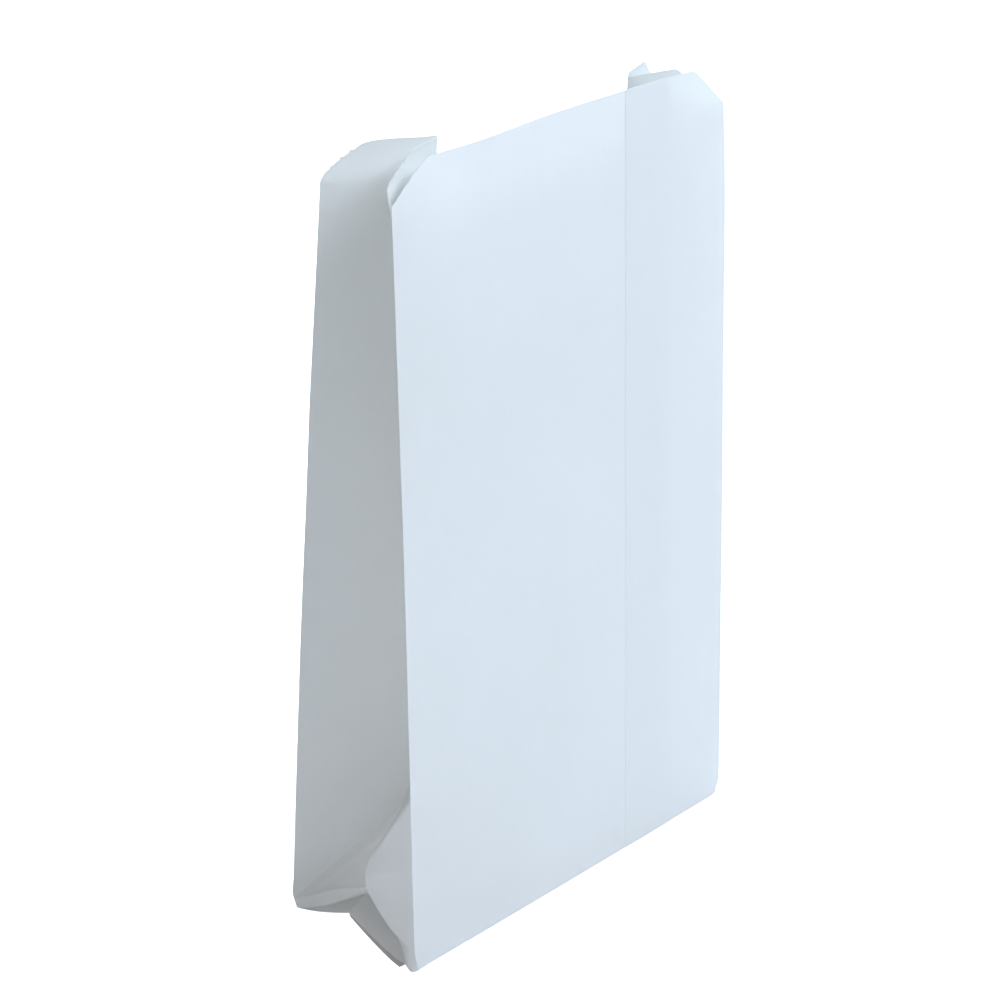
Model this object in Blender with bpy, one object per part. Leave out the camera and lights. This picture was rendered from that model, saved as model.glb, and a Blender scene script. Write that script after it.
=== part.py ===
"""Paper bag with side gussets and a turned-and-pasted bottom, standing open.

One flat-folded paper tube.  Its front and back panels are joined at each side
by a gusset, two strips that fold inwards along a centre crease.  The bottom
end of the tube is pressed shut along a closure line, and the closed end is
turned forwards under the front half of the floor.  At each end of the floor
the gusset comes out of its fold, makes a tilted facet with an eave along its
lower side, and turns under the eave into a shallow pocket.  All layers are
cut with a toothed edge at the top, with a slanted corner at each side.

The bag is one closed shell.  Its outer and inner skins are rings of points
around the tube, row above row, so every wall keeps a real thickness.
Lengths are in metres; x runs along the front, y to the back, z up.
"""

import math

import bmesh
import bpy
from mathutils import Vector

MM = 0.001

# ---- driving dimensions -------------------------------------------------
WIDTH = 150 * MM
HEIGHT = 254 * MM
GUSSET_HALF = 35.6 * MM
WALL = 0.6 * MM

BASE_DEPTH = 52.9 * MM
BACK_LEAN = 0.085
BACK_CURVE = 0.06
RIGHT_TOP_SHIFT = 3.8 * MM
MOUTH_GAP = 6.5 * MM
MOUTH_POWER = 2.2
BACK_LIP = 245.0 * MM

CLOSURE_Y = 27.4 * MM
CLOSURE_RISE = 10.0 * MM
BACK_EDGE_Y = 51.4 * MM
BACK_END_LIFT = 4.6 * MM
STRIP_THICK = 1.2 * MM
STRIP_FREE_EDGE = 4.7 * MM
LAYERS_THICK = 0.9 * MM
FLOOR_THICK = 1.8 * MM

EAVE_LEVEL = 8.1 * MM
EAVE_PEAK = Vector((-0.5 * MM, 24.2 * MM, 20.8 * MM))
POCKET_DEPTH = 23.0 * MM
BELLY_LEVEL = 22.0 * MM

SEAM_FROM = 101.0 * MM
SEAM_TO = 122.4 * MM
SEAM_RAISE = 0.2 * MM

TOOTH_PITCH = 1.65 * MM
TOOTH_HEIGHT = 0.55 * MM

# ---- how finely the skins are divided -----------------------------------
GUSSET_STEPS = 8
UPPER_ROWS = (52 * MM, 60 * MM, 85 * MM, 120 * MM, 155 * MM, 190 * MM, 220 * MM)
PANEL_X = (
    0.0, 4.7 * MM, 9.4 * MM, 14.0 * MM, 18.8 * MM, 32 * MM, 45 * MM, 60 * MM, 80 * MM,
    SEAM_FROM, SEAM_FROM + SEAM_RAISE, SEAM_TO - SEAM_RAISE, SEAM_TO,
    132 * MM, 138 * MM, 144 * MM, WIDTH,
)
PANEL_STEPS = len(PANEL_X) - 1
FLOOR_SHARES = (0.0, 0.155, 0.172, 0.31, 0.45, 0.58, 0.72, 0.86, 1.0)
PAPER_COLOUR = (0.80, 0.84, 0.87, 1.0)


def mix(start, end, share):
    """Point or number part of the way from start to end."""
    return start + (end - start) * share


def smooth(share):
    """Ease from 0 to 1 with level ends."""
    share = min(max(share, 0.0), 1.0)
    return share * share * (3.0 - 2.0 * share)


# ---- the leaning back panel ----------------------------------------------
def back_fold_y(z, right_side):
    """Depth of the fold between the back panel and a gusset."""
    depth = BASE_DEPTH - BACK_LEAN * z - BACK_CURVE * z * z
    return depth - RIGHT_TOP_SHIFT * (z / HEIGHT) * right_side


def back_panel_y(x, z):
    """The back panel sinks forwards between its folds, most at the mouth."""
    across = x / WIDTH
    fold_y = mix(back_fold_y(z, 0.0), back_fold_y(z, 1.0), across)
    sink_at_top = back_fold_y(HEIGHT, 0.5) - MOUTH_GAP
    sink = sink_at_top * (z / HEIGHT) ** MOUTH_POWER
    return fold_y - sink * smooth(1.45 - 1.45 * abs(2.0 * across - 1.0))


def base_back_z(x):
    """Height of the bottom back fold, which lifts towards both ends."""
    off_centre = abs(2.0 * x / WIDTH - 1.0)
    return -STRIP_THICK + BACK_END_LIFT * off_centre ** 4


# ---- the cut top edge ------------------------------------------------------
def slanted_cut(distance, level, drop, reach, power=1.0):
    """Cut height at a distance from a fold, lower inside the slanted corner."""
    short = max(0.0, 1.0 - distance / reach)
    return level - drop * short ** power


def front_top_z(x):
    """Cut height of the front panel."""
    left = slanted_cut(x, HEIGHT, 10.8 * MM, 18.8 * MM, 1.6)
    right = slanted_cut(WIDTH - x, HEIGHT, 16.5 * MM, 18.0 * MM)
    return min(left, right)


def back_top_z(x):
    """Cut height of the back panel, whose lip is lower than the front's."""
    return slanted_cut(WIDTH - x, BACK_LIP, 9.0 * MM, 12.0 * MM)


def gusset_top_z(s, front_half, right_side):
    """Cut height of a gusset half at distance s from its panel fold."""
    if front_half and right_side:
        return slanted_cut(s, HEIGHT, 15.5 * MM, 18.0 * MM)
    if front_half:
        return slanted_cut(s, HEIGHT, 10.8 * MM, 18.8 * MM, 2.4)
    if right_side:
        return slanted_cut(s, HEIGHT, 18.0 * MM, 23.0 * MM)
    return slanted_cut(s, HEIGHT, 9.0 * MM, 13.0 * MM)


# ---- the gussets -----------------------------------------------------------
def gusset_crease(w, right_side):
    """Centre crease at paper level w, with x measured in from the side."""
    peak_level = GUSSET_HALF + EAVE_LEVEL
    level = max(w, peak_level)
    half_depth = back_fold_y(level, right_side) / 2.0
    depth = math.sqrt(GUSSET_HALF ** 2 - half_depth ** 2)
    inner = Vector((depth, half_depth, level))
    if w >= peak_level:
        return inner
    return mix(EAVE_PEAK, inner, (w - EAVE_LEVEL) / (peak_level - EAVE_LEVEL))


def front_half_point(s, w, right_side):
    """Point on the front half, which bellies out low down where it is slack."""
    fold = Vector((0.0, 0.0, w))
    crease = gusset_crease(w, right_side)
    chord = (crease - fold).length
    slack = max(0.0, GUSSET_HALF - chord)
    stiff = max(0.0, 1.0 - (w - EAVE_LEVEL) / BELLY_LEVEL) ** 1.6
    belly = math.sqrt(0.375 * chord * slack) * (1.0 - 0.7 * stiff)
    outward = Vector((fold.y - crease.y, crease.x - fold.x, 0.0)).normalized()
    share = s / GUSSET_HALF
    return mix(fold, crease, share) + outward * belly * 4.0 * share * (1.0 - share)


def back_half_point(s, w, right_side):
    """Point on the back half, bent along a 45 degree fold from the corner."""
    fold = Vector((0.0, back_fold_y(w, right_side), w))
    crease = gusset_crease(w, right_side)
    bend_s = w - EAVE_LEVEL
    if bend_s >= GUSSET_HALF:
        return mix(fold, crease, s / GUSSET_HALF)
    corner = Vector((0.0, back_fold_y(EAVE_LEVEL, right_side), EAVE_LEVEL))
    inner = gusset_crease(GUSSET_HALF + EAVE_LEVEL, right_side)
    bend = mix(corner, inner, bend_s / GUSSET_HALF)
    if s <= bend_s:
        return mix(fold, bend, s / max(bend_s, 1e-9))
    return mix(bend, crease, (s - bend_s) / (GUSSET_HALF - bend_s))


def gusset_point(s, w, front_half, right_side):
    """Point on a gusset in the bag's own coordinates."""
    half = front_half_point if front_half else back_half_point
    point = half(s, w, right_side)
    if right_side:
        point.x = WIDTH - point.x
    return point


# ---- rings of points around the tube ---------------------------------------
def ring(front, gusset, back):
    """Points of one row: front panel, right gusset, back panel, left gusset.

    front(x) and back(x) give panel points; gusset(s, front_half, right_side)
    gives gusset points at distance s from the panel fold.
    """
    steps = [GUSSET_HALF * k / GUSSET_STEPS for k in range(GUSSET_STEPS + 1)]
    points = [front(x) for x in PANEL_X]
    points += [gusset(s, True, 1) for s in steps[1:]]
    points += [gusset(s, False, 1) for s in reversed(steps[:-1])]
    points += [back(x) for x in reversed(PANEL_X[:-1])]
    points += [gusset(s, False, 0) for s in steps[1:]]
    points += [gusset(s, True, 0) for s in reversed(steps[1:-1])]
    return points


def seam_y(x):
    """The long pasted overlap stands a little proud of the front panel."""
    return -SEAM_RAISE if SEAM_FROM < x < SEAM_TO else 0.0


def wall_ring(w):
    """Row of the outer skin at paper level w."""
    return ring(
        lambda x: Vector((x, seam_y(x), w)),
        lambda s, front_half, right_side: gusset_point(s, w, front_half, right_side),
        lambda x: Vector((x, back_panel_y(x, w), w)),
    )


def cut_ring():
    """Top row of the outer skin, along the slanted and level cuts."""
    def gusset(s, front_half, right_side):
        top = gusset_top_z(s, front_half, right_side)
        return gusset_point(s, top, front_half, right_side)

    return ring(
        lambda x: Vector((x, seam_y(x), front_top_z(x))),
        gusset,
        lambda x: Vector((x, back_panel_y(x, back_top_z(x)), back_top_z(x))),
    )


def inset(points, distance, lift=0.0):
    """Move a row inwards in plan by a wall thickness, mitred at its corners."""
    moved = []
    count = len(points)
    for i, here in enumerate(points):
        before = here.xy - points[i - 1].xy
        after = points[(i + 1) % count].xy - here.xy
        left_before = Vector((-before.y, before.x)).normalized()
        left_after = Vector((-after.y, after.x)).normalized()
        bisector = (left_before + left_after).normalized()
        step = bisector * (distance / max(bisector.dot(left_after), 0.15))
        moved.append(here + Vector((step.x, step.y, lift)))
    return moved


# ---- the floor ---------------------------------------------------------------
def strip_bottom_z(y):
    """Underside of the turned strip, arched up to the closure line."""
    share = (y - STRIP_FREE_EDGE) / (CLOSURE_Y - STRIP_FREE_EDGE)
    return mix(-STRIP_THICK, CLOSURE_RISE, max(0.0, share) ** 1.2)


def back_floor_z(x, y):
    """Underside of the back half of the floor."""
    share = (BACK_EDGE_Y - y) / (BACK_EDGE_Y - CLOSURE_Y)
    return mix(base_back_z(x), CLOSURE_RISE, share)


def underside(x, y, strip=True):
    """Point under the floor; the turned strip thickens its front half."""
    if y > CLOSURE_Y + 1e-6:
        return Vector((x, y, back_floor_z(x, y)))
    if strip and y > STRIP_FREE_EDGE:
        return Vector((x, y, strip_bottom_z(y)))
    return Vector((x, y, strip_bottom_z(y) + STRIP_THICK))


def floor_share(s, front_half):
    """Share of the way to the closure line reached at distance s on a gusset."""
    step = round(s / GUSSET_HALF * GUSSET_STEPS)
    return FLOOR_SHARES[step] if front_half else step / GUSSET_STEPS


def floor_y(share, front_half):
    """Depth at a share of the way from a bottom fold to the closure line."""
    return mix(0.0 if front_half else BACK_EDGE_Y, CLOSURE_Y, share)


def end_ring(rise, depth, strip):
    """Row at the floor's ends, at a rise above the underside.

    depth is how far in from the side the row reaches at the closure line.
    """
    def gusset(s, front_half, right_side):
        share = floor_share(s, front_half)
        inward = depth * share
        x = WIDTH - inward if right_side else inward
        point = underside(x, floor_y(share, front_half), strip)
        return point + Vector((0.0, 0.0, rise))

    return ring(
        lambda x: Vector((x, seam_y(x), rise)),
        gusset,
        lambda x: Vector((x, BACK_EDGE_Y, base_back_z(x) + rise)),
    )


def inner_floor_ring():
    """Row where the inner walls meet the inside of the floor."""
    def gusset(s, front_half, right_side):
        share = floor_share(s, front_half)
        inward = mix(3.0 * MM, GUSSET_HALF, share)
        x = WIDTH - inward if right_side else inward
        y = mix(WALL if front_half else BACK_EDGE_Y - WALL, CLOSURE_Y, share)
        return underside(x, y, False) + Vector((0.0, 0.0, FLOOR_THICK))

    def panel_x(x):
        return mix(3.0 * MM, WIDTH - 3.0 * MM, x / WIDTH)

    return ring(
        lambda x: Vector((panel_x(x), WALL, FLOOR_THICK)),
        gusset,
        lambda x: Vector((panel_x(x), BACK_EDGE_Y - WALL, base_back_z(x) + FLOOR_THICK)),
    )


# ---- building the closed shell -------------------------------------------------
class Shell:
    """A bmesh that grows ring by ring, and knows where each column lies."""

    FRONT_RIGHT = PANEL_STEPS
    CREASE_RIGHT = FRONT_RIGHT + GUSSET_STEPS
    BACK_RIGHT = CREASE_RIGHT + GUSSET_STEPS
    BACK_LEFT = BACK_RIGHT + PANEL_STEPS
    CREASE_LEFT = BACK_LEFT + GUSSET_STEPS
    COUNT = CREASE_LEFT + GUSSET_STEPS

    def __init__(self):
        self.bm = bmesh.new()

    def add_ring(self, points):
        """Add the vertices of one row, or of a part of one."""
        return [self.bm.verts.new(point) for point in points]

    def join(self, lower, upper):
        """Skin between two rows with triangles that follow the 45 degree folds."""
        for i in range(self.COUNT):
            j = (i + 1) % self.COUNT
            a, b, c, d = lower[i], lower[j], upper[j], upper[i]
            rising = (self.FRONT_RIGHT <= i < self.CREASE_RIGHT
                      or self.BACK_LEFT <= i < self.CREASE_LEFT)
            if rising:
                self.bm.faces.new((a, b, c))
                self.bm.faces.new((a, c, d))
            else:
                self.bm.faces.new((a, b, d))
                self.bm.faces.new((b, c, d))

    def join_teeth(self, lower, chains, outward):
        """Skin between a row and the toothed edge above it, as fans."""
        for i, chain in enumerate(chains):
            j = (i + 1) % self.COUNT
            edge = chain + [chains[j][0]]
            faces = [(lower[i], lower[j], edge[-1])]
            faces += [(lower[i], far, near) for near, far in zip(edge, edge[1:])]
            for face in faces:
                self.bm.faces.new(face if outward else face[::-1])

    def cap_teeth(self, outer, inner):
        """Close the wall's thickness along the toothed edge."""
        outer = [vert for chain in outer for vert in chain]
        inner = [vert for chain in inner for vert in chain]
        for i, vert in enumerate(outer):
            j = (i + 1) % len(outer)
            self.bm.faces.new((vert, outer[j], inner[j], inner[i]))

    def fill_floor(self, row, height_at):
        """Fill a bottom row with two half floors that share the closure line."""
        front = row[:self.FRONT_RIGHT + 1]
        back = list(reversed(row[self.BACK_RIGHT:self.BACK_LEFT + 1]))
        left_front = [row[-k % self.COUNT] for k in range(GUSSET_STEPS + 1)]
        right_front = row[self.FRONT_RIGHT:self.CREASE_RIGHT + 1]
        left_back = row[self.BACK_LEFT:self.CREASE_LEFT + 1]
        right_back = list(reversed(row[self.CREASE_RIGHT:self.BACK_RIGHT + 1]))
        closure = self.floor_line(left_front[-1], right_front[-1], height_at)
        self.fill_half(front, closure, left_front, right_front, height_at, False)
        self.fill_half(back, closure, left_back, right_back, height_at, True)

    def floor_line(self, left, right, height_at):
        """A row of floor vertices between two end vertices."""
        line = [left]
        for x in PANEL_X[1:-1]:
            point = mix(left.co, right.co, x / WIDTH)
            point.z = height_at(point.x, point.y)
            line.append(self.bm.verts.new(point))
        return line + [right]

    def fill_half(self, edge, closure, left, right, height_at, flip):
        """Grid of faces between a bottom fold and the closure line."""
        lines = [edge]
        lines += [self.floor_line(left[k], right[k], height_at)
                  for k in range(1, GUSSET_STEPS)]
        lines.append(closure)
        for near, far in zip(lines, lines[1:]):
            for i in range(PANEL_STEPS):
                face = [near[i], near[i + 1], far[i + 1], far[i]]
                self.bm.faces.new(face[::-1] if flip else face)


def tooth_counts(row):
    """Number of teeth cut in each step of the top row."""
    following = row[1:] + row[:1]
    return [max(1, round((there - here).length / TOOTH_PITCH))
            for here, there in zip(row, following)]


def toothed(row, counts):
    """Divide each step of the top row into teeth; one list of points per step."""
    chains = []
    for here, there, teeth in zip(row, row[1:] + row[:1], counts):
        chain = [mix(here, there, k / (2 * teeth)) for k in range(2 * teeth)]
        for peak in chain[1::2]:
            peak.z += TOOTH_HEIGHT
        chains.append(chain)
    return chains


def build_shell():
    """Make the bag's closed shell as a bmesh, with its faces pointing out."""
    shell = Shell()
    fold_rows = [EAVE_LEVEL + GUSSET_HALF * k / GUSSET_STEPS
                 for k in range(GUSSET_STEPS + 1)]
    levels = fold_rows + list(UPPER_ROWS)
    outer = [end_ring(0.0, 0.0, True),
             end_ring(LAYERS_THICK / 2, 0.0, False),
             end_ring(LAYERS_THICK, POCKET_DEPTH, False)]
    outer += [wall_ring(w) for w in levels]
    inner = [inner_floor_ring()]
    inner += [inset(wall_ring(w), WALL, WALL if w == levels[0] else 0.0) for w in levels]

    outer_rows = [shell.add_ring(points) for points in outer]
    inner_rows = [shell.add_ring(points) for points in inner]
    for lower, upper in zip(outer_rows, outer_rows[1:]):
        shell.join(lower, upper)
    for lower, upper in zip(inner_rows, inner_rows[1:]):
        shell.join(lower, upper)

    cut = cut_ring()
    counts = tooth_counts(cut)
    outer_teeth = [shell.add_ring(chain) for chain in toothed(cut, counts)]
    inner_teeth = [shell.add_ring(chain) for chain in toothed(inset(cut, WALL), counts)]
    shell.join_teeth(outer_rows[-1], outer_teeth, True)
    shell.join_teeth(inner_rows[-1], inner_teeth, False)
    shell.cap_teeth(outer_teeth, inner_teeth)
    shell.fill_floor(outer_rows[0], lambda x, y: underside(x, y).z)
    shell.fill_floor(inner_rows[0], lambda x, y: underside(x, y, False).z + FLOOR_THICK)
    bmesh.ops.recalc_face_normals(shell.bm, faces=shell.bm.faces[:])
    return shell.bm


def centre_on_base(bm):
    """Put the origin under the middle of the bag, at its lowest level."""
    spans = []
    for axis in range(3):
        values = [v.co[axis] for v in bm.verts]
        spans.append((min(values), max(values)))
    middle = Vector((sum(spans[0]) / 2, sum(spans[1]) / 2, spans[2][0]))
    bmesh.ops.translate(bm, verts=bm.verts[:], vec=-middle)


def paper_material():
    """Plain white uncoated paper."""
    material = bpy.data.materials.new("paper")
    material.use_nodes = True
    shader = material.node_tree.nodes["Principled BSDF"]
    shader.inputs["Base Color"].default_value = PAPER_COLOUR
    shader.inputs["Roughness"].default_value = 0.75
    shader.inputs["Metallic"].default_value = 0.0
    return material


def build_bag():
    """Build the bag object."""
    bm = build_shell()
    centre_on_base(bm)
    mesh = bpy.data.meshes.new("paper_bag")
    bm.to_mesh(mesh)
    bm.free()
    mesh.materials.append(paper_material())
    bag = bpy.data.objects.new("paper_bag", mesh)
    bpy.context.scene.collection.objects.link(bag)
    return bag


for leftover in list(bpy.data.objects):
    bpy.data.objects.remove(leftover, do_unlink=True)
build_bag()
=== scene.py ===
"""White paper bag with side gussets and a turned-and-pasted bottom, dressed for a studio picture.

The bag is one flat sheet of paper.  It is laid out as a grid in the paper's own measure, across and up,
and then folded: every point of the sheet is sent to its place on the folded bag.  Lengths in the bag's own
measure are millimetres from its front left bottom corner, x along the front, y to the back, z up.
"""

import logging
import math
import random
from dataclasses import dataclass, field
from enum import Enum
from typing import TypeVar

import bmesh
import bpy
from mathutils import Matrix, Vector, noise

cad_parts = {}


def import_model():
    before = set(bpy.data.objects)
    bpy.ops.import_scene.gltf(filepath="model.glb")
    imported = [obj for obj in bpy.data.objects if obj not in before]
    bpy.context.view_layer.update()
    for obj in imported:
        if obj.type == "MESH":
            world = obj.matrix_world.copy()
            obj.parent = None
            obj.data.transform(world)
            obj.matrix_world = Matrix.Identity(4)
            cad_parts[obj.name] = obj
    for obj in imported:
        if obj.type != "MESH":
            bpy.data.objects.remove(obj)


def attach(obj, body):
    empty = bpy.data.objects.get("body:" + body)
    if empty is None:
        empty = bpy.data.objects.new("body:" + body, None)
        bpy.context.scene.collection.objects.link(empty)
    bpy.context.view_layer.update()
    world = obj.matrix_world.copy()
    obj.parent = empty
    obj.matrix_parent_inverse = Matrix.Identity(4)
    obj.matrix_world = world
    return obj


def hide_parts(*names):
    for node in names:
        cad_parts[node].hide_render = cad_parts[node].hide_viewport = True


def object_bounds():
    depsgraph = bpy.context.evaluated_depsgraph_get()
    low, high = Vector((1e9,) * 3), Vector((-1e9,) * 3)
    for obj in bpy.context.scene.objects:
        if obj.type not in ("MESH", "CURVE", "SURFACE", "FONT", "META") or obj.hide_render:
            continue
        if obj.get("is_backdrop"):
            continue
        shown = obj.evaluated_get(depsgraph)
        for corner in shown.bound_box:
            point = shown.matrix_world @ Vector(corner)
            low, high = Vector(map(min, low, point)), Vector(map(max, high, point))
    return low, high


log = logging.getLogger("bag")

MM = 0.001
CUT_ROWS = 1000.0
TINY = 1e-6

Amount = TypeVar("Amount", float, Vector)
Triple = tuple[float, float, float]


def mix(start: Amount, end: Amount, share: float) -> Amount:
    """Number or vector part of the way from start to end."""
    return start + (end - start) * share


def ease(share: float) -> float:
    """Go from 0 to 1 with level ends."""
    share = min(max(share, 0.0), 1.0)
    return share * share * (3.0 - 2.0 * share)


def bump(distance: float, reach: float) -> float:
    """Go from 1 at no distance to 0 at the reach, with level ends."""
    return 1.0 - ease(abs(distance) / reach)


def spread(start: float, end: float, count: int) -> list[float]:
    """Evenly spaced numbers after start, up to and with end."""
    return [mix(start, end, step / count) for step in range(1, count + 1)]


@dataclass(frozen=True)
class Hump:
    """A rise along a line, largest at its centre and gone at its reach on either side."""

    size: float
    centre: float
    reach: float

    def at(self, place: float) -> float:
        """Height of the rise at a place on the line."""
        return self.size * bump(place - self.centre, self.reach)


@dataclass(frozen=True)
class Ramp:
    """A change along a line, none up to its start and whole after its length."""

    size: float
    start: float
    length: float

    def at(self, place: float) -> float:
        """How much has changed at a place on the line."""
        return self.size * ease((place - self.start) / self.length)


@dataclass(frozen=True)
class Push:
    """A shift that is largest at no distance and falls to nothing at its reach."""

    size: float
    reach: float
    power: float

    def at(self, distance: float) -> float:
        """How large the shift is at a distance."""
        return self.size * max(0.0, 1.0 - abs(distance) / self.reach) ** self.power


@dataclass(frozen=True)
class Slant:
    """A slanted corner of the cut; a power above 1 curves it like the edge of a coin."""

    drop: float
    reach: float
    power: float = 1.0
    lift: float = 0.0

    def cut(self, top: float, distance: float) -> float:
        """Cut height at a distance from the fold, on a bag that is level at the top given."""
        short = max(0.0, 1.0 - distance / self.reach)
        return top - self.drop * short ** self.power + self.lift


@dataclass(frozen=True)
class Tear:
    """Steps that a blade tore along a cut corner."""

    pitch: float
    depth: float
    end: float
    fade: float = 3.0
    wander: float = 0.25
    wander_rate: float = 2.1

    def shift(self, s: float) -> float:
        """How far the cut is moved up at a distance from the fold."""
        wander = self.wander * math.sin(self.wander_rate * s)
        step = 0.5 - (s / self.pitch + wander) % 1.0
        return self.depth * step * (1.0 - ease((s - self.end) / self.fade))


def fixed(x: float, y: float, z: float) -> Vector:
    """Give a size that is a vector its value."""
    return field(default_factory=lambda: Vector((x, y, z)))


class Side(Enum):
    """The two ends of the bag's front."""

    LEFT = 0
    RIGHT = 1


class Zone(Enum):
    """The strips that the sheet's lengthwise folds divide it into, in order round the bag."""

    FRONT_OVER = "front panel with the overlapping edge"
    RIGHT_FRONT_HALF = "right gusset, front half"
    RIGHT_BACK_HALF = "right gusset, back half"
    BACK = "back panel"
    LEFT_BACK_HALF = "left gusset, back half"
    LEFT_FRONT_HALF = "left gusset, front half"
    FRONT_UNDER = "front panel with the covered edge"


FRONT_HALVES = (Zone.LEFT_FRONT_HALF, Zone.RIGHT_FRONT_HALF)


@dataclass(frozen=True)
class Column:
    """One lengthwise line of the sheet.

    Local is the distance from the panel fold on a gusset and x on a panel; across is the line's place on
    the flat sheet.
    """

    zone: Zone
    local: float
    across: float


@dataclass(frozen=True)
class BagSizes:
    """The bag's driving sizes in millimetres."""

    width: float = 150.0
    height: float = 254.2
    gusset_half: float = 35.6
    paper: float = 0.16
    seam_from: float = 101.0
    seam_to: float = 122.4
    floor_half: float = 29.2
    strip: float = 24.0
    closure_y: float = 27.2
    closure_z: float = 10.2
    eave: float = 5.0
    back_foot: float = 8.1
    back_end_z: float = 3.6
    back_edge_y: float = 50.2
    strip_drop: float = 1.2
    strip_free_y: float = 6.4
    lowest_layer: float = 0.11
    floor_front_arch: float = 1.4
    floor_back_arch: float = 1.35
    foot_fade: float = 6.0
    closure_slack: float = 0.01

    def on_strip(self, w: float) -> bool:
        """Whether a paper level lies below the closure line, on the turned strip."""
        return w < -self.floor_half - self.closure_slack


@dataclass(frozen=True)
class TopCut:
    """The cut top edge, with a slanted corner at each side of every layer."""

    sizes: BagSizes
    front_left: Slant = Slant(11.2, 16.5, 1.3)
    front_right: Slant = Slant(15.3, 17.4)
    front_dip: Hump = Hump(0.65, 38.0, 30.0)
    front_fall: float = 1.75
    fall_from: float = 70.0
    fall_length: float = 64.0
    fall_power: float = 1.75
    back_left: Slant = Slant(9.0, 15.0)
    back_right: Slant = Slant(18.0, 23.0)
    lip_drop: float = 9.2
    left_front_half: Slant = Slant(7.5, 17.0, lift=0.4)
    left_front_fall: Ramp = Ramp(1.5, 17.0, 18.0)
    left_back_half: Slant = Slant(8.6, 15.0, 1.7, lift=0.75)
    left_back_fall: Ramp = Ramp(1.5, 16.0, 20.0)
    right_front_half: Slant = Slant(14.4, 17.5, lift=-1.8)
    right_back_half: Slant = Slant(18.6, 20.5, 0.95, lift=-0.6)
    torn_low: float = 243.1
    torn_high: float = 247.8
    torn_width: float = 1.4
    front_tear: Tear = Tear(3.3, 0.9, 13.0)
    back_tear: Tear = Tear(2.7, 1.0, 9.5)

    def front(self, x: float) -> float:
        """Cut height of the front panel, which dips a little and falls towards the right."""
        top = self.sizes.height
        left = self.front_left.cut(top, x)
        right = self.front_right.cut(top, self.sizes.width - x)
        fall = self.front_fall * (max(0.0, x - self.fall_from) / self.fall_length) ** self.fall_power
        return min(left, right, top - self.front_dip.at(x) - min(fall, self.front_fall))

    def back(self, x: float) -> float:
        """Cut height of the back panel, whose lip is lower than the front's."""
        top = self.sizes.height
        left = self.back_left.cut(top, x)
        right = self.back_right.cut(top, self.sizes.width - x)
        return min(left, right, top - self.lip_drop)

    def gusset(self, s: float, zone: Zone) -> float:
        """Cut height of a gusset half at a distance from its panel fold."""
        top = self.sizes.height
        if zone is Zone.LEFT_FRONT_HALF:
            torn = mix(self.torn_low, self.torn_high, ease(s / self.torn_width))
            torn += max(0.0, s - self.torn_width)
            return min(torn, self.left_front_half.cut(top, s) - self.left_front_fall.at(s))
        if zone is Zone.LEFT_BACK_HALF:
            return self.left_back_half.cut(top, s) - self.left_back_fall.at(s)
        if zone is Zone.RIGHT_FRONT_HALF:
            return self.right_front_half.cut(top, s)
        return self.right_back_half.cut(top, s)

    def ragged(self, s: float, zone: Zone) -> float:
        """Shift of the cut at a left gusset corner, where the blade tore the paper in steps."""
        tear = self.back_tear if zone is Zone.LEFT_BACK_HALF else self.front_tear
        return tear.shift(s)

    def height(self, column: Column) -> float:
        """Cut height at a column of the sheet."""
        if column.zone is Zone.BACK:
            return self.back(column.local)
        if column.zone in (Zone.FRONT_OVER, Zone.FRONT_UNDER):
            return self.front(column.local)
        return self.gusset(column.local, column.zone)


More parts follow.
